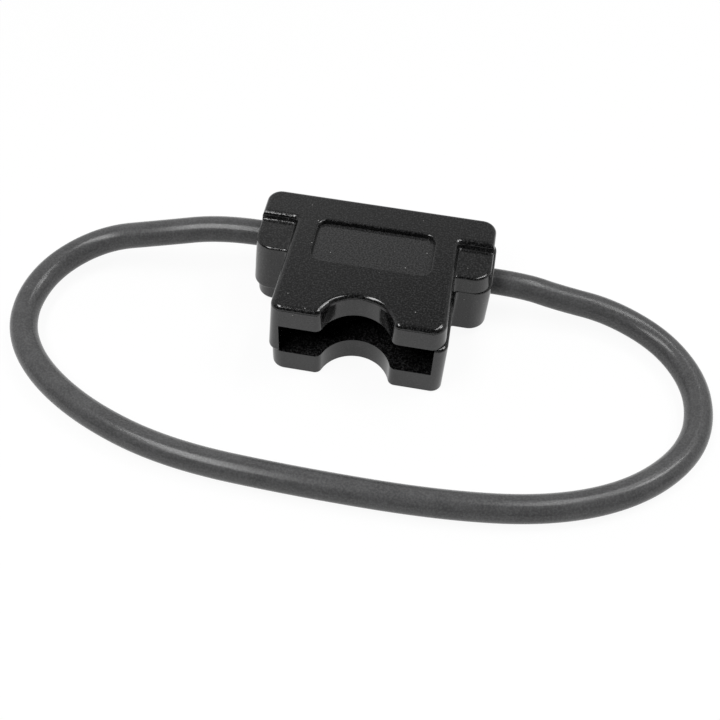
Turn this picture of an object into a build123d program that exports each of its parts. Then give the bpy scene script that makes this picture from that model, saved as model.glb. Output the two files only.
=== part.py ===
from build123d import *
import os
from math import pi, radians, tan

# Inline holder for one regular blade fuse: a flat T-shaped black housing of two
# like half shells, two blade terminals inside it, and one uncut loop of lead that
# leaves the left ear and comes back into the right ear.
# Millimetres. X runs to the right, Y from the mouth to the back, Z up. The origin
# is on the table, under the middle of the housing.

# The blade fuse that goes in: a moulded body with two flat blades.
fuse_width = 19.1
fuse_thickness = 5.1
blade_width = 5.2
blade_thickness = 0.65
blade_length = 6.9
blade_pitch = 9.3

# The pocket that takes the fuse body, and the walls round it.
pocket_side_gap = 0.8
pocket_face_gap = 0.05
pocket_depth = 12.55
blade_tip_gap = 0.85
plate = 3.7
side_wall = 1.7
back_wall = 1.6

# The ears, which carry the leads out to both sides.
ear_reach = 4.7
ear_depth = 10.65
ridge_depth = 5.1
ear_drop = 1.1

# How the two half shells are moulded and how they meet.
lower_draft = 0.6
upper_draft = 3.6
stem_flare = 0.15
shell_lip = 0.35
seam = 0.1
deep_corner = 1.5
shallow_corner = 1.9
ear_corner = 2.5
back_corner = 2.0
root_round = 0.6
lower_face_round = 0.35
upper_face_round = 0.72
ear_round = 0.35
rim_round = 0.4
edge_reach = 1.0

# The thumb notch in the mouth, and the blank panel sunk in each broad face.
notch_depth = 3.95
notch_radius = 4.9
notch_corner = 1.0
panel_width = 16.2
panel_length = 7.5
panel_corner = 1.4
panel_depth = 0.7
panel_back = 4.8
panel_round = 0.3

# The lead: stranded copper in a rubbery jacket.
jacket_diameter = 3.7
conductor_diameter = 2.5
jacket_bore_gap = 0.04
lead_from_back = 4.3
lead_offset = 1.3
hole_gap = 0.15

# The blade terminals, folded from brass strip.
strip = 0.4
grip_bend = 0.3
grip_side_gap = 0.15
grip_face_gap = 0.05
grip_length = 7.0
grip_setback = 0.5
lip_width = 1.4
neck_width = 3.0
neck_gap = 0.8
neck_relief = 0.3
neck_wrap = 60.0
bridge_wrap = 35.0
crimp_length = 2.8
crimp_spacing = 0.5
jacket_crimp_length = 2.3
crimp_gap = 0.03
crimp_slit = 0.35
conductor_stub = 0.3
bore_setback = 0.3
terminal_gap = 0.1
rib_half = 1.3

# The free loop of lead: the straight runs where it leaves the ears, and the share of
# the shorter neighbour that each bend takes up.
left_exit_run = 5.75
right_exit_run = 4.75
bend_share = 0.45

# Sizes that follow from those above.
pocket_half = fuse_width / 2 + pocket_side_gap
pocket_height = fuse_thickness + 2 * pocket_face_gap
height = 2 * plate + pocket_height
middle = height / 2
chamber_depth = blade_length + blade_tip_gap
depth = pocket_depth + chamber_depth + back_wall
mouth_y = -depth / 2
back_y = depth / 2
seat_y = mouth_y + pocket_depth
chamber_back = back_y - back_wall
deep_rise = height - plate
stem_half = pocket_half + side_wall
ear_half = stem_half + ear_reach
ear_y = back_y - ear_depth
step_y = back_y - ridge_depth
insertion_axis = Axis((0, 0, middle), (0, 1, 0))

lead_y = back_y - lead_from_back
lead_z = middle - lead_offset
blade_x = blade_pitch / 2
grip_inner_width = blade_width + 2 * grip_side_gap
grip_inner_height = blade_thickness + 2 * grip_face_gap
grip_half = grip_inner_width / 2 + strip
grip_rise = grip_inner_height / 2 + strip
grip_y = seat_y + grip_setback
base_z = middle + grip_rise - strip / 2
neck_start = blade_x + grip_half - strip - grip_bend
neck_front = lead_y - neck_width / 2 - neck_relief
bed = middle - grip_rise - terminal_gap
crimp_inner = conductor_diameter / 2 + crimp_gap
crimp_outer = crimp_inner + strip
jacket_inner = jacket_diameter / 2 + crimp_gap
jacket_outer = jacket_inner + strip
crimp_x = blade_x + grip_half + neck_gap
jacket_crimp_x = crimp_x + crimp_length + crimp_spacing
barrel_end = jacket_crimp_x + jacket_crimp_length
channel_half = jacket_outer + terminal_gap
channel_start = blade_x + grip_half + terminal_gap
channel_end = barrel_end + bore_setback
channel_floor = lead_z - jacket_outer - terminal_gap
channel_roof = lead_z + jacket_outer + terminal_gap

# Corners of the middle line of the free lead, from the left ear round the front of
# the housing to the right ear. It lies on the table for most of its way.
route = [
    (-ear_half, lead_y, height - lead_z),
    (-ear_half - left_exit_run, lead_y, height - lead_z),
    (-31.1, 5.15, 6.1),
    (-40.0, 4.15, 4.2),
    (-46.4, -2.25, 2.7),
    (-47.3, -11.05, 1.9),
    (-42.5, -18.55, 1.85),
    (-33.0, -24.75, 1.85),
    (-20.6, -28.65, 1.85),
    (-4.0, -29.45, 1.85),
    (14.0, -29.35, 1.85),
    (28.0, -27.45, 1.85),
    (38.7, -22.55, 1.85),
    (45.8, -14.55, 1.85),
    (46.8, -5.35, 1.85),
    (42.5, 2.35, 1.95),
    (34.4, 6.35, 2.8),
    (26.4, 6.25, 4.1),
    (ear_half + right_exit_run, lead_y, lead_z),
    (ear_half, lead_y, lead_z),
]


def t_outline(bar_front, slope):
    """Corners of the T on the outer face, its mouth and back left overlong."""
    deep_inset = slope * deep_rise
    shallow_inset = slope * plate + shell_lip
    deep_stem = stem_half - deep_inset
    deep_ear = ear_half - deep_inset
    shallow_stem = stem_half - shallow_inset
    shallow_ear = ear_half - shallow_inset
    flare = stem_flare * (bar_front - mouth_y) / (ear_y - mouth_y)
    extra = stem_flare * depth / (ear_y - mouth_y)
    return [
        (deep_stem + extra, mouth_y - depth),
        (deep_stem - flare, bar_front),
        (deep_ear, bar_front),
        (deep_ear, back_y + depth),
        (-shallow_ear, back_y + depth),
        (-shallow_ear, bar_front),
        (flare - shallow_stem, bar_front),
        (-shallow_stem - extra, mouth_y - depth),
    ]


def is_upright(edge):
    """True for an edge that runs up a side wall, leaning only by the draft."""
    return abs((edge @ 1 - edge @ 0).normalized().Z) > 0.98


def wrap_section(inner, wrap):
    """A strip curled over the lead, reaching down by the angle wrap on each side."""
    reach = 2 * (inner + strip)
    side = reach * tan(radians(wrap))
    with BuildSketch() as section:
        with Locations((lead_y, lead_z)):
            Circle(inner + strip)
            Circle(inner, mode=Mode.SUBTRACT)
            Polygon((0, 0), (side, reach), (-side, reach), align=None, mode=Mode.INTERSECT)
    return section.sketch


def half_shell(draft, face_round):
    """One half of the housing, its broad face down and its full wall on the right."""
    slope = tan(radians(draft))

    # The ears stand back from the broad face between the stem and the ridge behind.
    with BuildPart() as ear_relief:
        with Locations((0, step_y, 0)):
            Box(4 * ear_half, depth, 2 * ear_drop, align=(Align.CENTER, Align.MAX, Align.CENTER))
        with BuildSketch():
            with BuildLine():
                Polyline(*t_outline(step_y, slope), close=True)
            make_face()
        extrude(amount=2 * ear_drop, taper=-draft, mode=Mode.SUBTRACT)

    # A plate with the full wall on the right. On the left it ends at the pocket
    # floor, where the wall of the other half comes down to it.
    with BuildPart() as shell:
        with BuildSketch():
            with BuildLine():
                Polyline(*t_outline(ear_y, slope), close=True)
            make_face()
        extrude(amount=deep_rise, taper=-draft)
        add(ear_relief.part, mode=Mode.SUBTRACT)
        Box(4 * ear_half, depth, 4 * height, mode=Mode.INTERSECT)

        uprights = shell.edges().filter_by(is_upright)
        roots = uprights.filter_by(lambda e: abs(abs(e.center().X) - stem_half) < edge_reach)
        fillet(roots.filter_by(lambda e: e.center().Y > mouth_y + edge_reach), root_round)
        uprights = shell.edges().filter_by(is_upright)
        mouth_edges = uprights.filter_by(lambda e: e.center().Y < mouth_y + edge_reach)
        fillet(mouth_edges.filter_by(lambda e: e.center().X > 0), deep_corner)
        fillet(mouth_edges.filter_by(lambda e: e.center().X < 0), shallow_corner)
        uprights = shell.edges().filter_by(is_upright)
        fillet(uprights.filter_by(lambda e: e.center().Y > back_y - edge_reach), back_corner)
        uprights = shell.edges().filter_by(is_upright)
        ear_edges = uprights.filter_by(lambda e: abs(e.center().Y - ear_y) < edge_reach)
        fillet(ear_edges.filter_by(lambda e: abs(e.center().X) > stem_half + ear_reach / 2), ear_corner)
        rim = shell.faces().sort_by(Axis.Z)[-1]
        fillet(rim.outer_wire().edges(), rim_round)

        # The side without a wall ends at the pocket floor, a seam short of the middle.
        with BuildSketch(Plane.XY.offset(plate)):
            with Locations((seam / 2, 0)):
                Rectangle(4 * ear_half, 4 * depth, align=(Align.MAX, Align.CENTER))
        extrude(amount=height, mode=Mode.SUBTRACT)

        # The pocket runs from the mouth to the back wall, as wide as the fuse.
        with BuildSketch(Plane.XY.offset(plate)):
            with Locations((0, chamber_back)):
                Rectangle(2 * pocket_half, 2 * depth, align=(Align.CENTER, Align.MAX))
        extrude(amount=height, mode=Mode.SUBTRACT)

        # A raised bed stops the fuse body and carries the terminals behind it.
        with BuildSketch(Plane.XY.offset(plate)):
            with Locations((0, seat_y)):
                Rectangle(pocket_half, chamber_depth, align=(Align.MIN, Align.MIN))
                Rectangle(pocket_half - seam, chamber_depth - seam, align=(Align.MAX, Align.MIN))
        extrude(amount=bed - plate)
        with BuildSketch(Plane.XY.offset(bed)):
            with Locations((0, seat_y)):
                Rectangle(2 * rib_half, chamber_depth - seam, align=(Align.CENTER, Align.MIN))
        extrude(amount=middle - bed - seam / 2)

        # On the left a tongue reaches up into the ear and holds the crimped barrel.
        with BuildSketch(Plane.XY.offset(plate)):
            with Locations((-channel_end + seam, lead_y)):
                tongue_width = 2 * (channel_half - seam)
                Rectangle(channel_end - pocket_half, tongue_width, align=(Align.MIN, Align.CENTER))
        extrude(amount=height - channel_roof - plate)

        # On the right the barrel lies in a channel, and the lead leaves by a round hole.
        with BuildSketch(Plane.XY.offset(channel_floor)):
            with Locations((channel_start, lead_y)):
                channel_run = channel_end - channel_start
                Rectangle(channel_run, 2 * channel_half, align=(Align.MIN, Align.CENTER))
        extrude(amount=height, mode=Mode.SUBTRACT)
        with BuildSketch(Plane.YZ.offset(channel_end - seam)):
            with Locations((lead_y, lead_z)):
                Circle(jacket_diameter / 2 + hole_gap)
        extrude(amount=ear_half, mode=Mode.SUBTRACT)

        # The thumb notch in the front of the plate.
        with BuildSketch() as notch:
            with Locations((0, mouth_y + notch_depth - notch_radius)):
                Circle(notch_radius)
            with Locations((0, mouth_y)):
                Rectangle(4 * notch_radius, 2 * notch_radius, align=(Align.CENTER, Align.MAX))
            corners = notch.vertices().filter_by(lambda v: v.Y > mouth_y - seam)
            fillet(corners.filter_by(lambda v: abs(v.X) < 1.5 * notch_radius), notch_corner)
        extrude(amount=plate, mode=Mode.SUBTRACT)

        # Every outer edge of the broad face and of the two ears is rounded.
        broad_face = shell.faces().filter_by(Axis.Z).sort_by(Axis.Z)[0]
        fillet(broad_face.outer_wire().edges(), face_round)
        ear_faces = shell.faces().filter_by(Axis.Z)
        ear_faces = ear_faces.filter_by(lambda f: abs(f.center().Z - ear_drop) < ear_round)
        ear_faces = ear_faces.filter_by(lambda f: f.normal_at().Z < 0)
        fillet(ear_faces.edges(), ear_round)

        # The blank panel sunk in the broad face.
        with BuildSketch():
            with Locations((0, back_y - panel_back - panel_length / 2)):
                RectangleRounded(panel_width, panel_length, panel_corner)
        extrude(amount=panel_depth, mode=Mode.SUBTRACT)
        panel_rim = shell.faces().filter_by(Axis.Z).sort_by(Axis.Z)[0].inner_wires()[0]
        fillet(panel_rim.edges(), panel_round)
    return shell.part


# The lower half stands almost upright and has crisp edges.
with BuildPart() as lower_shell:
    add(half_shell(lower_draft, lower_face_round))

# The upper half is the same moulding with more draft and rounder edges, turned half a
# turn about the axis along which the fuse slides in.
with BuildPart() as upper_shell:
    add(half_shell(upper_draft, upper_face_round).rotate(insertion_axis, 180))

# The right terminal, one piece of brass strip. A flat C grips the blade, a neck
# leaves it sideways, and two rings are curled round the conductor and the jacket.
with BuildPart() as right_terminal:
    with BuildSketch(Plane.XZ.offset(-grip_y)):
        with Locations((blade_x, middle)):
            RectangleRounded(2 * grip_half, 2 * grip_rise, strip + grip_bend)
            RectangleRounded(grip_inner_width, grip_inner_height, grip_bend, mode=Mode.SUBTRACT)
        with Locations((blade_x, middle - grip_rise)):
            Rectangle(2 * (grip_half - lip_width), 2 * strip, mode=Mode.SUBTRACT)
    extrude(amount=-grip_length)

    # Behind the outer lip only the flat of the strip is left, where the neck starts.
    with Locations((neck_start, neck_front, middle)):
        Box(grip_half, grip_length, height, align=(Align.MIN, Align.MIN, Align.CENTER), mode=Mode.SUBTRACT)
    with Locations((blade_x, neck_front, middle)):
        Box(grip_half, grip_length, height, align=(Align.MIN, Align.MIN, Align.MAX), mode=Mode.SUBTRACT)

    # The neck curls from the flat into the ring round the conductor.
    with BuildSketch(Plane.YZ.offset(neck_start)):
        with Locations((lead_y, base_z)):
            Rectangle(neck_width, strip)
    with BuildSketch(Plane.YZ.offset(crimp_x)):
        add(wrap_section(crimp_inner, neck_wrap))
    loft()
    with BuildSketch(Plane.YZ.offset(crimp_x)):
        with Locations((lead_y, lead_z)):
            Circle(crimp_outer)
            Circle(crimp_inner, mode=Mode.SUBTRACT)
            Rectangle(crimp_slit, height, align=(Align.CENTER, Align.MAX), mode=Mode.SUBTRACT)
    extrude(amount=crimp_length)

    # A bridge steps out to the wider ring round the jacket.
    with BuildSketch(Plane.YZ.offset(crimp_x + crimp_length)):
        add(wrap_section(crimp_inner, bridge_wrap))
    with BuildSketch(Plane.YZ.offset(jacket_crimp_x)):
        add(wrap_section(jacket_inner, bridge_wrap))
    loft()
    with BuildSketch(Plane.YZ.offset(jacket_crimp_x)):
        with Locations((lead_y, lead_z)):
            Circle(jacket_outer)
            Circle(jacket_inner, mode=Mode.SUBTRACT)
            Rectangle(crimp_slit, height, align=(Align.CENTER, Align.MAX), mode=Mode.SUBTRACT)
    extrude(amount=jacket_crimp_length)

with BuildPart() as left_terminal:
    add(right_terminal.part.rotate(insertion_axis, 180))

# The stripped end of the copper conductor, inside the terminal and the jacket.
with BuildPart() as right_conductor:
    with BuildSketch(Plane.YZ.offset(crimp_x - conductor_stub)):
        with Locations((lead_y, lead_z)):
            Circle(conductor_diameter / 2)
    extrude(amount=ear_half - crimp_x + conductor_stub)

with BuildPart() as left_conductor:
    add(right_conductor.part.rotate(insertion_axis, 180))

# The last stretch of jacket, from its crimp out through the ear.
with BuildPart() as right_lead_tail:
    with BuildSketch(Plane.YZ.offset(jacket_crimp_x)):
        with Locations((lead_y, lead_z)):
            Circle(jacket_diameter / 2)
            Circle(conductor_diameter / 2 + jacket_bore_gap, mode=Mode.SUBTRACT)
    extrude(amount=ear_half - jacket_crimp_x)

with BuildPart() as left_lead_tail:
    add(right_lead_tail.part.rotate(insertion_axis, 180))

# The free loop of lead between the two ears: straight runs joined by tangent arcs.
corners = [Vector(*point) for point in route]
runs = [(b - a) for a, b in zip(corners[:-1], corners[1:])]
bends = []
for before, after in zip(runs[:-1], runs[1:]):
    half_turn = radians(before.get_angle(after) / 2)
    bends.append(bend_share * min(before.length, after.length) / tan(half_turn))
with BuildPart() as lead_loop:
    with BuildLine() as loop_line:
        FilletPolyline(*route, radius=bends)
    with BuildSketch(Plane(origin=route[0], z_dir=(-1, 0, 0))):
        Circle(jacket_diameter / 2)
    sweep()

print("bend radii", [round(bend, 1) for bend in bends])
loop_length = sum(edge.length for edge in loop_line.edges())
loop_section = pi * jacket_diameter ** 2 / 4
print("loop length", round(loop_length, 2))
print("loop volume", round(lead_loop.part.volume, 1), "section by length", round(loop_section * loop_length, 1))

lower_shell.part.label = "lower_shell"
upper_shell.part.label = "upper_shell"
right_terminal.part.label = "right_terminal"
left_terminal.part.label = "left_terminal"
right_conductor.part.label = "right_conductor"
left_conductor.part.label = "left_conductor"
right_lead_tail.part.label = "right_lead_tail"
left_lead_tail.part.label = "left_lead_tail"
lead_loop.part.label = "lead_loop"

os.makedirs("parts", exist_ok=True)
export_step(lower_shell.part, "parts/lower_shell.step")
export_step(upper_shell.part, "parts/upper_shell.step")
export_step(right_terminal.part, "parts/right_terminal.step")
export_step(left_terminal.part, "parts/left_terminal.step")
export_step(right_conductor.part, "parts/right_conductor.step")
export_step(left_conductor.part, "parts/left_conductor.step")
export_step(right_lead_tail.part, "parts/right_lead_tail.step")
export_step(left_lead_tail.part, "parts/left_lead_tail.step")
export_step(lead_loop.part, "parts/lead_loop.step")
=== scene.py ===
# %% [markdown]
# # An inline fuse holder on a white table
#
# The object is a small black housing for a regular blade fuse. One lead leaves its
# left ear, runs in a loop round the front and goes back into the right ear. All the
# rigid pieces come from the construction model at their real size. This lesson gives
# them their finishes, makes the loop of lead as a soft curve, and sets up the table,
# the light and the camera.

# %% Load the construction model
from math import radians

import bpy
from mathutils import Matrix, Vector


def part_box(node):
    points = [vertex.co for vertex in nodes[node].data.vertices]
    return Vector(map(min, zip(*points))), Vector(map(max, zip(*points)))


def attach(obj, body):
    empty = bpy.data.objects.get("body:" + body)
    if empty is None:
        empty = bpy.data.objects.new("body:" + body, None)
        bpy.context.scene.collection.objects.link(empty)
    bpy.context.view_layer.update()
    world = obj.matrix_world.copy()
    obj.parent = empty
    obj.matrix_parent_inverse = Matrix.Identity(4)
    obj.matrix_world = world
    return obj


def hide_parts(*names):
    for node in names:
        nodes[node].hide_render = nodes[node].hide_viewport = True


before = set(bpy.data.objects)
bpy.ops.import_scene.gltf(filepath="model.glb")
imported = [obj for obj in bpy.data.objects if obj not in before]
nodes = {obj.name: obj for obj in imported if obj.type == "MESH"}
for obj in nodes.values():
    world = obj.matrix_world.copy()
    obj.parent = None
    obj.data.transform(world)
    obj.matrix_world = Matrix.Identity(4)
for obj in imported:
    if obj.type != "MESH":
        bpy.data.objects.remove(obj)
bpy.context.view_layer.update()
MM = 0.001
print("rigid pieces from the model:", sorted(nodes))

# %% [markdown]
# ## The camera
#
# The picture looks down on the holder from the front, a little from the right. A
# tracking constraint could aim the camera, but it can't give the small roll that the
# picture has. So the camera, which looks straight down when it is new, gets three
# turns: it is tipped up to its elevation, turned to its azimuth, and rolled. The
# focal length was measured in pixels, so the sensor's width makes a lens of it.

# %% Place the camera
picture_width = 720
focal_pixels = 993.675
sensor_width = 36.0
camera_place = Vector((10.620, -92.503, 108.785)) * MM
camera_azimuth = radians(6.911)
camera_elevation = radians(51.757)
camera_roll = radians(3.687)
nearest_seen = 0.005
farthest_seen = 20.0

camera_data = bpy.data.cameras.new("camera")
camera_data.sensor_width = sensor_width
camera_data.lens = sensor_width * focal_pixels / picture_width
camera_data.clip_start = nearest_seen
camera_data.clip_end = farthest_seen
camera = bpy.data.objects.new("camera", camera_data)
bpy.context.scene.collection.objects.link(camera)
turned = Matrix.Rotation(camera_azimuth, 4, "Z")
tipped = Matrix.Rotation(radians(90.0) - camera_elevation, 4, "X")
rolled = Matrix.Rotation(camera_roll, 4, "Z")
camera.matrix_world = Matrix.Translation(camera_place) @ turned @ tipped @ rolled
bpy.context.scene.camera = camera
print("lens", round(camera_data.lens, 2), "mm")

# %% [markdown]
# ## The loop of lead
#
# On the real object this is one length of stranded wire in a black vinyl jacket. It
# is stiff enough to stand out straight from the ears for a moment, then it sinks to
# the table and lies on it. It could be a tube swept along straight runs and arcs, but
# wire doesn't bend in arcs: its curvature changes all the time. A NURBS curve pulled
# by a few listed points bends the same way, so the route is a list of such points.

# %% List the route of the lead
jacket_diameter = 3.7 * MM
left_exit = (-16.75, 6.65, 7.6)
right_exit = (16.75, 6.65, 5.0)
lead_route = [
    left_exit,
    (-22.5, 6.65, 7.6),
    (-31.1, 5.15, 6.1),
    (-40.0, 4.15, 4.2),
    (-46.4, -2.25, 2.7),
    (-47.3, -11.05, 1.9),
    (-42.5, -18.55, 1.85),
    (-33.0, -24.75, 1.85),
    (-20.6, -28.65, 1.85),
    (-4.0, -29.45, 1.85),
    (14.0, -29.35, 1.85),
    (28.0, -27.45, 1.85),
    (38.7, -22.55, 1.85),
    (45.8, -14.55, 1.85),
    (46.8, -5.35, 1.85),
    (42.5, 2.35, 1.95),
    (34.4, 6.35, 2.8),
    (26.4, 6.25, 4.1),
    (21.5, 6.65, 5.0),
    right_exit,
]
print("route of", len(lead_route), "points, in millimetres")

# %% [markdown]
# ## From the route to a round lead
#
# The curve could be given a profile object, or be turned into a mesh tube. A round
# bevel is simpler: with a bevel depth of 1, each point carries the jacket's radius in
# metres. The order is set after the points are there, or Blender leaves it at
# straight runs.

# %% Draw the lead
lead_curve = bpy.data.curves.new("lead", "CURVE")
lead_curve.dimensions = "3D"
lead_line = lead_curve.splines.new("NURBS")
lead_line.points.add(len(lead_route) - 1)
for point, corner in zip(lead_line.points, lead_route):
    point.co = (*(Vector(corner) * MM), 1.0)
    point.radius = jacket_diameter / 2
lead_line.order_u = 3
lead_line.use_endpoint_u = True
lead_line.use_smooth = True
lead_curve.resolution_u = 16
lead_curve.bevel_depth = 1.0
lead_curve.bevel_resolution = 10
lead_curve.use_fill_caps = True
lead = bpy.data.objects.new("lead", lead_curve)
bpy.context.scene.collection.objects.link(lead)
print("lead drawn,", round(jacket_diameter / MM, 2), "mm across")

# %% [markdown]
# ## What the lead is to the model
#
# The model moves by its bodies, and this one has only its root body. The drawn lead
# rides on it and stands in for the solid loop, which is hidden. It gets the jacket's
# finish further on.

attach(lead, "root")
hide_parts("lead_loop")

# %% [markdown]
# ## A grain that several finishes share
#
# Moulded plastic copies the spark-eroded steel of its mould, and a vinyl jacket
# copies the die it was drawn through: both have a fine, irregular grain that breaks
# up their reflections. Painting it on by hand would not fit every side, so a node
# group makes it from noise in the object's own space. The group gives out a height
# for a Bump node and a roughness. Each finish sets how fine and how rough it is.


# %% Start the grain group
def new_group(name, inputs, outputs):
    """A shader node group with number inputs (label, value) and labelled outputs."""
    group = bpy.data.node_groups.new(name, "ShaderNodeTree")
    kind = "NodeSocketFloat"
    for label, value in inputs:
        socket = group.interface.new_socket(label, in_out="INPUT", socket_type=kind)
        socket.default_value = value
    for label in outputs:
        group.interface.new_socket(label, in_out="OUTPUT", socket_type=kind)
    ins = group.nodes.new("NodeGroupInput")
    outs = group.nodes.new("NodeGroupOutput")
    return group, ins, outs


grain, grain_in, grain_out = new_group(
    "moulded_grain",
    [("Grains per metre", 5000.0), ("Roughness", 0.3), ("Roughness swing", 0.1)],
    ["Height", "Roughness"],
)
print("group", grain.name, "started")

# %% [markdown]
# ## Two sizes of noise
#
# One noise alone looks like sandpaper. Real mouldings are also a little shinier in
# one patch than in the next, so a second noise makes patches many grains wide. Three
# small helpers save lines: one fills a socket with a number or a link, one adds a
# noise, and one adds a step of arithmetic.


# %% Add the noises of the grain
def feed(tree, socket, value):
    """Give a socket a plain value, or a link from another socket."""
    if isinstance(value, bpy.types.NodeSocket):
        tree.links.new(value, socket)
    else:
        socket.default_value = value


def noise(tree, place, scale, detail=2.0, roughness=0.5):
    """A noise over a place, as a value from 0 to 1."""
    node = tree.nodes.new("ShaderNodeTexNoise")
    feed(tree, node.inputs["Vector"], place)
    feed(tree, node.inputs["Scale"], scale)
    feed(tree, node.inputs["Detail"], detail)
    feed(tree, node.inputs["Roughness"], roughness)
    return node.outputs["Fac"]


def maths(tree, operation, *values):
    """A step of arithmetic on sockets and numbers."""
    node = tree.nodes.new("ShaderNodeMath")
    node.operation = operation
    for socket, value in zip(node.inputs, values):
        feed(tree, socket, value)
    return node.outputs[0]


patches_per_grain = 0.06
grains_per_metre = grain_in.outputs["Grains per metre"]
place = grain.nodes.new("ShaderNodeTexCoord").outputs["Object"]
fine = noise(grain, place, grains_per_metre, detail=3.0, roughness=0.6)
patches_per_metre = maths(grain, "MULTIPLY", grains_per_metre, patches_per_grain)
patches = noise(grain, place, patches_per_metre)
print("grains and patches made, one patch to", round(1 / patches_per_grain), "grains")

# %% [markdown]
# ## What the grain gives out
#
# The fine noise is the height. The roughness swings about the value that a finish
# asks for: both noises average a half, so their sum less one swings about nothing.

# %% Give out the grain's height and roughness
mean_of_both = 1.0
swing = maths(grain, "SUBTRACT", maths(grain, "ADD", patches, fine), mean_of_both)
swing = maths(grain, "MULTIPLY", swing, grain_in.outputs["Roughness swing"])
rough = maths(grain, "ADD", grain_in.outputs["Roughness"], swing)
grain.links.new(fine, grain_out.inputs["Height"])
grain.links.new(rough, grain_out.inputs["Roughness"])
print("group", grain.name, "made")

# %% [markdown]
# ## Dust
#
# Black plastic shows every speck. The specks could be small meshes, but they have no
# thickness worth modelling, so a second group gives a mask. Each Voronoi cell has a
# speck at its centre that fades outwards, and the cell's own random colour decides
# whether it is kept.


# %% Build the dust group
def spread(tree, value, from_range, to_range=(0.0, 1.0)):
    """Map a value smoothly from one range to another, and hold it at the ends."""
    node = tree.nodes.new("ShaderNodeMapRange")
    node.interpolation_type = "SMOOTHSTEP"
    feed(tree, node.inputs["Value"], value)
    labels = ("From Min", "From Max", "To Min", "To Max")
    for label, end in zip(labels, (*from_range, *to_range)):
        feed(tree, node.inputs[label], end)
    return node.outputs["Result"]


dust, dust_in, dust_out = new_group(
    "dust_specks",
    [("Cells per metre", 900.0), ("Speck size", 0.09), ("Share of cells", 0.3)],
    ["Mask"],
)
place = dust.nodes.new("ShaderNodeTexCoord").outputs["Object"]
cells = dust.nodes.new("ShaderNodeTexVoronoi")
feed(dust, cells.inputs["Vector"], place)
feed(dust, cells.inputs["Scale"], dust_in.outputs["Cells per metre"])
to_the_edge = (0.0, dust_in.outputs["Speck size"])
speck = spread(dust, cells.outputs["Distance"], to_the_edge, to_range=(1.0, 0.0))
cell_colour = dust.nodes.new("ShaderNodeSeparateColor")
feed(dust, cell_colour.inputs["Color"], cells.outputs["Color"])
share = dust_in.outputs["Share of cells"]
kept = maths(dust, "LESS_THAN", cell_colour.outputs["Red"], share)
dust.links.new(maths(dust, "MULTIPLY", speck, kept), dust_out.inputs["Mask"])
print("group", dust.name, "made")

# %% [markdown]
# ## The black housing
#
# The half shells are moulded in black plastic. Their faces look dark grey, and not
# because of the pigment: a glossy skin mirrors the white room at a few percent. So
# the colour is nearly black, the skin is fairly smooth, and the grain and a little
# dust break it up. A flat grey colour would look right from one side only.


# %% Start the housing's finish
def new_finish(name):
    """A material with nodes: the material, its tree and its shader."""
    finish = bpy.data.materials.new(name)
    finish.use_nodes = True
    return finish, finish.node_tree, finish.node_tree.nodes["Principled BSDF"]


def place_group(tree, group, **values):
    """Put a group in a material, with its values set by name."""
    node = tree.nodes.new("ShaderNodeGroup")
    node.node_tree = group
    for label, value in values.items():
        node.inputs[label.replace("_", " ")].default_value = value
    return node


housing_finish, tree, shader = new_finish("black_housing")
skin = place_group(tree, grain, Grains_per_metre=4200.0, Roughness=0.13, Roughness_swing=0.08)
specks = place_group(tree, dust, Cells_per_metre=700.0, Speck_size=0.08, Share_of_cells=0.32)
print("finish", housing_finish.name, "started, with grain and dust")

# %% [markdown]
# ## The colour of the housing
#
# The tops of the grain are rubbed a little paler than the rest, and in the picture
# the floor of the sunk panel is paler again. That floor could have a material of its
# own, but its face belongs to the construction model, so it is found by its height
# and painted in the same material. Dust lies over everything.


# %% Colour the housing
def paint(tree, amount, under, over):
    """Mix two colours, plain or from sockets, by a value that changes over the surface."""
    node = tree.nodes.new("ShaderNodeMix")
    node.data_type = "RGBA"
    feed(tree, node.inputs["Factor"], amount)
    feed(tree, node.inputs["A"], under)
    feed(tree, node.inputs["B"], over)
    return node.outputs["Result"]


housing_black = (0.002, 0.002, 0.0021, 1.0)
housing_scuffed = (0.030, 0.030, 0.0305, 1.0)
panel_scuffed = (0.040, 0.040, 0.0405, 1.0)
housing_dust = (0.42, 0.42, 0.41, 1.0)
panel_depth = 0.7 * MM
panel_floor_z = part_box("upper_shell")[1].z - panel_depth
floor_tolerance = 0.05 * MM
grain_tops = (0.42, 0.72)
floor_tops = (0.35, 0.75)
floor_share = (0.15, 1.0)

tops = spread(tree, skin.outputs["Height"], grain_tops)
plastic = paint(tree, tops, housing_black, housing_scuffed)
height_axis = tree.nodes.new("ShaderNodeSeparateXYZ")
place = tree.nodes.new("ShaderNodeTexCoord").outputs["Object"]
feed(tree, height_axis.inputs["Vector"], place)
on_floor = maths(tree, "COMPARE", height_axis.outputs["Z"], panel_floor_z, floor_tolerance)
worn = spread(tree, skin.outputs["Height"], floor_tops, to_range=floor_share)
plastic = paint(tree, maths(tree, "MULTIPLY", on_floor, worn), plastic, panel_scuffed)
dusty = paint(tree, specks.outputs["Mask"], plastic, housing_dust)
feed(tree, shader.inputs["Base Color"], dusty)
print("panel floor found at", round(panel_floor_z / MM, 2), "mm above the table")

# %% [markdown]
# ## The skin of the housing
#
# The grain's height goes to the normal through a Bump node, only a few thousandths of
# a millimetre deep, and its roughness goes to the shader. The refractive index is
# that of hard plastic. It is the same all over, so it is set on the shader itself.


# %% Give the housing its skin
def raise_surface(tree, shader, height, depth):
    """Feed a height of the given depth in metres to the shader's normal."""
    bump = tree.nodes.new("ShaderNodeBump")
    bump.inputs["Strength"].default_value = 1.0
    bump.inputs["Distance"].default_value = depth
    feed(tree, bump.inputs["Height"], height)
    feed(tree, shader.inputs["Normal"], bump.outputs["Normal"])


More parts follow.
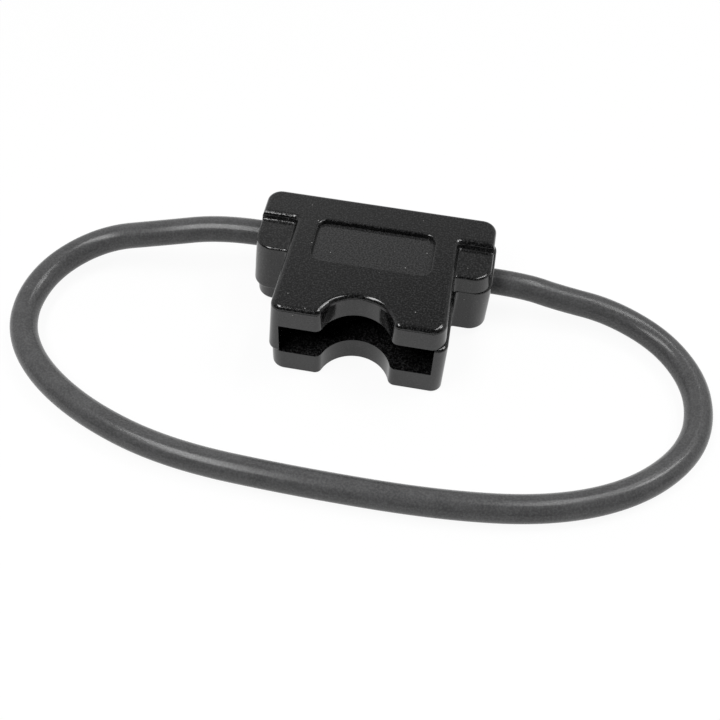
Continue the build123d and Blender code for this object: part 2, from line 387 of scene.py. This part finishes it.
def dress(finish, *names):
    """Give nodes of the construction model a finish in place of their plain one."""
    for name in names:
        nodes[name].data.materials.clear()
        nodes[name].data.materials.append(finish)
    print("finish", finish.name, "on", ", ".join(names))


housing_grain_depth = 0.004 * MM
feed(tree, shader.inputs["Roughness"], skin.outputs["Roughness"])
raise_surface(tree, shader, skin.outputs["Height"], housing_grain_depth)
shader.inputs["IOR"].default_value = 1.53
dress(housing_finish, "lower_shell", "upper_shell")

# %% [markdown]
# ## The vinyl jacket
#
# The jacket is softer and greyer than the housing, with a satin skin that blurs what
# it mirrors. Its grey is mottled: the grain is paler at its tops, and a slow noise
# lays clouds a few millimetres wide over that. One plain grey would look like paint.
# The short tails inside the ears belong to the same lead and get the same finish.

# %% Finish the jacket
jacket_dark = (0.056, 0.056, 0.057, 1.0)
jacket_light = (0.100, 0.100, 0.101, 1.0)
jacket_dust = (0.30, 0.30, 0.30, 1.0)
jacket_grain_depth = 0.006 * MM
clouds_per_metre = 260.0
cloud_middle = (0.3, 0.7)
cloud_share = 0.3
jacket_tops = (0.35, 0.70)
mottle_share = 0.7

jacket_finish, tree, shader = new_finish("vinyl_jacket")
skin = place_group(tree, grain, Grains_per_metre=3600.0, Roughness=0.24, Roughness_swing=0.06)
specks = place_group(tree, dust, Cells_per_metre=420.0, Speck_size=0.05, Share_of_cells=0.16)
place = tree.nodes.new("ShaderNodeTexCoord").outputs["Object"]
slow_noise = noise(tree, place, clouds_per_metre, detail=3.0)
clouds = spread(tree, slow_noise, cloud_middle, to_range=(0.0, cloud_share))
mottle = spread(tree, skin.outputs["Height"], jacket_tops, to_range=(0.0, mottle_share))
vinyl = paint(tree, maths(tree, "ADD", clouds, mottle), jacket_dark, jacket_light)
dusty = paint(tree, specks.outputs["Mask"], vinyl, jacket_dust)
feed(tree, shader.inputs["Base Color"], dusty)
feed(tree, shader.inputs["Roughness"], skin.outputs["Roughness"])
raise_surface(tree, shader, skin.outputs["Height"], jacket_grain_depth)
shader.inputs["Specular IOR Level"].default_value = 0.28
lead.data.materials.append(jacket_finish)
dress(jacket_finish, "left_lead_tail", "right_lead_tail")

# %% [markdown]
# ## The metal inside
#
# The terminals are tinned brass strip and the conductor is bare copper. They sit deep
# in the dark pocket and show only as a glint. Rolled strip and drawn wire have faint
# lines along their length, made here with a noise that is squeezed across them. Both
# metals differ only in colour, roughness and the way their lines run, so one function
# makes the two.


# %% Finish the metals
def metal(name, bright, dull, roughness, lines_per_metre):
    """A metal with fine lines, given as noise steps per metre along x, y and z."""
    line_depth = 0.008 * MM
    roughness_swing = 0.2
    roughest = roughness + roughness_swing
    colour_middle = (0.3, 0.7)
    roughness_middle = (0.2, 0.8)
    finish, tree, shader = new_finish(name)
    place = tree.nodes.new("ShaderNodeTexCoord").outputs["Object"]
    squeeze = tree.nodes.new("ShaderNodeMapping")
    squeeze.inputs["Scale"].default_value = lines_per_metre
    feed(tree, squeeze.inputs["Vector"], place)
    lines = noise(tree, squeeze.outputs["Vector"], scale=1.0, detail=3.0)
    shade = spread(tree, lines, colour_middle)
    wear = spread(tree, lines, roughness_middle, to_range=(roughness, roughest))
    feed(tree, shader.inputs["Base Color"], paint(tree, shade, bright, dull))
    feed(tree, shader.inputs["Roughness"], wear)
    raise_surface(tree, shader, lines, line_depth)
    shader.inputs["Metallic"].default_value = 1.0
    return finish


tin = (0.72, 0.70, 0.64, 1.0)
tin_dull = (0.52, 0.50, 0.45, 1.0)
copper = (0.76, 0.36, 0.20, 1.0)
copper_dull = (0.48, 0.20, 0.11, 1.0)
lines_along_y = (6000.0, 500.0, 6000.0)
lines_along_x = (500.0, 4000.0, 4000.0)
tin_roughness = 0.22
copper_roughness = 0.30

terminal_finish = metal("tinned_brass", tin, tin_dull, tin_roughness, lines_along_y)
conductor_finish = metal("copper_strands", copper, copper_dull, copper_roughness, lines_along_x)
dress(terminal_finish, "left_terminal", "right_terminal")
dress(conductor_finish, "left_conductor", "right_conductor")

# %% [markdown]
# ## The table
#
# The holder lies on a table so white that its edge can't be seen in the picture. One
# large square is enough for it; it isn't part of the object.

# %% Lay the table
table_half = 3.0
table_mesh = bpy.data.meshes.new("table")
table_corners = [
    (-table_half, -table_half, 0.0),
    (table_half, -table_half, 0.0),
    (table_half, table_half, 0.0),
    (-table_half, table_half, 0.0),
]
table_mesh.from_pydata(table_corners, [], [(0, 1, 2, 3)])
table = bpy.data.objects.new("table", table_mesh)
bpy.context.scene.collection.objects.link(table)
print("table laid,", 2 * table_half, "m wide")

# %% [markdown]
# ## White without more light
#
# More lamps would make the table white, but would bleach the object as well. So the
# table's own shading is mixed with a plain white glow: almost all of it where the
# camera looks at the table, and a part of it where a glossy surface mirrors the
# table. The rest of the shading leaves a soft shadow under the object.

# %% Finish the table
table_paint = (0.90, 0.90, 0.90, 1.0)
pure_white = (1.0, 1.0, 1.0, 1.0)
white_share = 0.93
mirrored_share = 0.65

table_finish, tree, shader = new_finish("white_table")
shader.inputs["Base Color"].default_value = table_paint
shader.inputs["Roughness"].default_value = 0.6
glow = tree.nodes.new("ShaderNodeEmission")
glow.inputs["Color"].default_value = pure_white
glow.inputs["Strength"].default_value = 1.0
rays = tree.nodes.new("ShaderNodeLightPath").outputs
mirrored = maths(tree, "ADD", rays["Is Glossy Ray"], rays["Is Transmission Ray"])
mirrored = maths(tree, "MULTIPLY", mirrored, mirrored_share)
direct = maths(tree, "MULTIPLY", rays["Is Camera Ray"], white_share)
white = maths(tree, "MINIMUM", maths(tree, "ADD", direct, mirrored), 1.0)
mixed = tree.nodes.new("ShaderNodeMixShader")
feed(tree, mixed.inputs["Fac"], white)
tree.links.new(shader.outputs["BSDF"], mixed.inputs[1])
tree.links.new(glow.outputs["Emission"], mixed.inputs[2])
tree.links.new(mixed.outputs["Shader"], tree.nodes["Material Output"].inputs["Surface"])
table_mesh.materials.append(table_finish)
print("table finished, white share", white_share, "direct and", mirrored_share, "mirrored")

# %% [markdown]
# ## The room's light
#
# The housing's rounded edges show a bright line beside a dark one, so the room is
# bright behind the holder and dark on the camera's side. A picture of a room could
# give that light, but three smooth steps on the view direction do it too: a ceiling
# that is brighter on the left, a brighter band low behind the table, and the dark
# side. Where the camera itself looks at the world, it is plain white.

# %% Set the world
front_strength = 0.03
left_strength = 0.34
right_strength = 0.14
band_strength = 0.27
left_to_right = (-0.25, 0.12)
band_top = (0.66, 0.78)
front_to_back = (-0.35, -0.05)

world = bpy.data.worlds.new("white_room")
bpy.context.scene.world = world
world.use_nodes = True
tree = world.node_tree
backdrop = tree.nodes["Background"]
backdrop.inputs["Color"].default_value = pure_white
view_direction = tree.nodes.new("ShaderNodeTexCoord").outputs["Generated"]
split = tree.nodes.new("ShaderNodeSeparateXYZ")
feed(tree, split.inputs["Vector"], view_direction)
ceiling_range = (left_strength, right_strength)
ceiling = spread(tree, split.outputs["X"], left_to_right, to_range=ceiling_range)
band = spread(tree, split.outputs["Z"], band_top, to_range=(band_strength, 0.0))
behind = spread(tree, split.outputs["Y"], front_to_back)
room = maths(tree, "MULTIPLY", maths(tree, "ADD", ceiling, band), behind)
room = maths(tree, "ADD", room, front_strength)
camera_rays = tree.nodes.new("ShaderNodeLightPath").outputs["Is Camera Ray"]
feed(tree, backdrop.inputs["Strength"], maths(tree, "MAXIMUM", room, camera_rays))
print("world set, strength", front_strength, "on the camera's side")

# %% [markdown]
# ## The lamps
#
# The highlights along the rounded edges and the lead are soft-ended lines, as
# rectangular lamps leave them. Three hang level above the table: a long one in front
# on the left, and a short one and a slim one on the right. One large lamp would give
# one wide, weak highlight instead.

# %% Hang the lamps
lamp_height = 0.34


def soft_lamp(name, x, y, width, length, watts):
    """A rectangular lamp that hangs level and shines down."""
    data = bpy.data.lights.new(name, "AREA")
    data.shape = "RECTANGLE"
    data.size = width
    data.size_y = length
    data.energy = watts
    lamp = bpy.data.objects.new(name, data)
    bpy.context.scene.collection.objects.link(lamp)
    lamp.location = (x, y, lamp_height)
    print(name, "hung at", x, y, lamp_height)


soft_lamp("left_lamp", x=-0.135, y=-0.135, width=0.10, length=0.27, watts=1.02)
soft_lamp("right_lamp", x=0.235, y=0.088, width=0.09, length=0.10, watts=0.47)
soft_lamp("slim_lamp", x=0.113, y=0.08, width=0.05, length=0.26, watts=0.42)

# %% [markdown]
# ## Colours as they are written
#
# The standard view shows a colour as it is written, with no film curve over it.

# %% Set the view
bpy.context.scene.view_settings.view_transform = "Standard"
